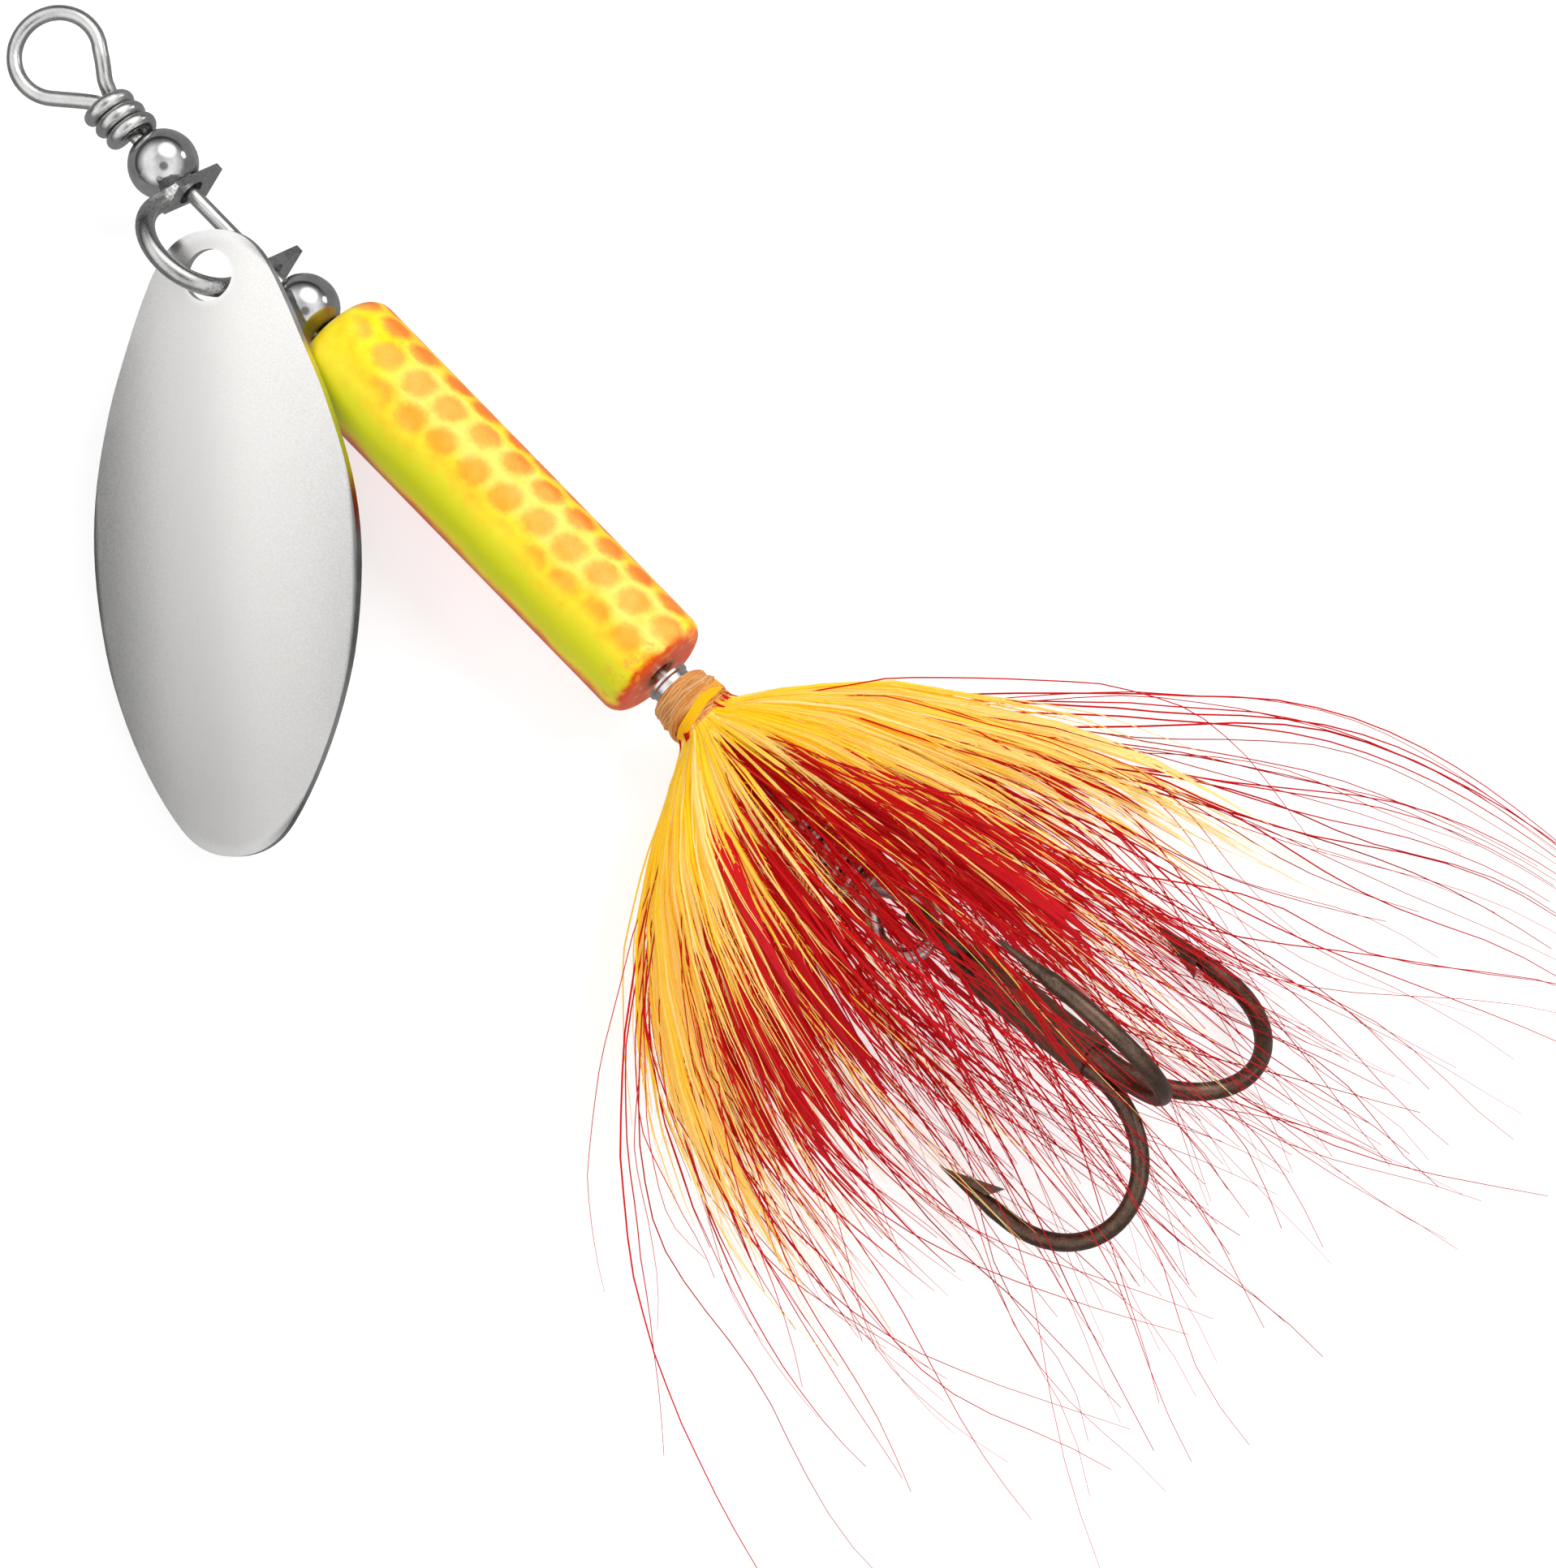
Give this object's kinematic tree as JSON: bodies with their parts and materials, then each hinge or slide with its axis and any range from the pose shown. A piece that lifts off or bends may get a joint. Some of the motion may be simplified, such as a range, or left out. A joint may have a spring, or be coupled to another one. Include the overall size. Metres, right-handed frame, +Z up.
{
  "type": "inline spinner",
  "caption": "Inline spinner fishing lure: wire shaft with line eye, blade swinging on a clevis between bearing beads, painted body, feather hackle on a ferrule and a treble hook.",
  "frame": {"origin": "centre of the line eye, on the shaft's centreline", "axes": "+X runs down the shaft from the line eye to the hook; +Z is up from the surface the lure lies on, square to the plane of the line eye; +Y completes the frame, and the blade hangs to the -Y side"},
  "size_m": [0.0812, 0.0367, 0.0142],
  "materials": {
    "stainless_wire": "bright drawn stainless spring wire",
    "nickel_bead": "polished nickel plate on a hollow brass bead",
    "clevis_steel": "nickel plated wire with stamped ears",
    "nickel_blade": "satin nickel plate on brass, polished rim",
    "painted_body": "gloss airbrushed paint: yellow, chartreuse flank stripe, soft orange spots, orange-red belly",
    "ferrule_metal": "thin rolled tube, slightly dulled",
    "thread": "orange and tan tying thread with a few yellow turns",
    "yellow_hackle": "dyed yellow hackle barbs, cream towards the tips",
    "red_hackle": "dyed red hackle barbs",
    "bronze_hook": "dark bronzed hook wire, semi-gloss",
    "bronze_braze": "matt grainy bronzed braze"
  },
  "bodies": {
    "shaft": {"shaft_wire": "stainless_wire"},
    "upper_bead": {"upper_bead": "nickel_bead"},
    "clevis": {"clevis": "clevis_steel"},
    "blade": {"blade": "nickel_blade"},
    "lower_bead": {"lower_bead": "nickel_bead"},
    "body": {"body": "painted_body"},
    "hackle": {"ferrule": "ferrule_metal", "thread_wrap": "thread", "yellow_feather_1": "yellow_hackle", "yellow_feather_2": "yellow_hackle", "yellow_feather_3": "yellow_hackle", "yellow_feather_4": "yellow_hackle", "yellow_feather_5": "yellow_hackle", "yellow_feather_6": "yellow_hackle", "yellow_feather_7": "yellow_hackle", "yellow_feather_8": "yellow_hackle", "red_feather_1": "red_hackle", "red_feather_2": "red_hackle", "red_feather_3": "red_hackle", "red_feather_4": "red_hackle", "red_feather_5": "red_hackle", "red_feather_6": "red_hackle"},
    "treble_hook": {"double_hook": "bronze_hook", "single_hook": "bronze_hook", "shank_braze": "bronze_braze"}
  },
  "joints": [
    {"name": "upper_bead_spin", "type": "hinge", "parent": "shaft", "child": "upper_bead", "pos_m": [0.00705, 0, 0], "axis": [1, 0, 0], "continuous": true},
    {"name": "clevis_spin", "type": "hinge", "parent": "shaft", "child": "clevis", "pos_m": [0.01134, 0, 0], "axis": [-1, 0, 0], "continuous": true},
    {"name": "blade_swing", "type": "hinge", "parent": "clevis", "child": "blade", "pos_m": [0.01294, -0.00219, 0.00342], "axis": [0.6428, 0.4924, -0.5868], "range_deg": [-25, 8]},
    {"name": "lower_bead_spin", "type": "hinge", "parent": "shaft", "child": "lower_bead", "pos_m": [0.01635, 0, 0], "axis": [1, 0, 0], "continuous": true},
    {"name": "body_spin", "type": "hinge", "parent": "shaft", "child": "body", "pos_m": [0.02875, 0, 0], "axis": [1, 0, 0], "continuous": true},
    {"name": "hackle_spin", "type": "hinge", "parent": "shaft", "child": "hackle", "pos_m": [0.0418, 0, 0], "axis": [1, 0, 0], "continuous": true},
    {"name": "hook_swing", "type": "hinge", "parent": "shaft", "child": "treble_hook", "pos_m": [0.0549, 0, 0], "axis": [0, 0, 1], "range_deg": [-22, 6]}
  ]
}
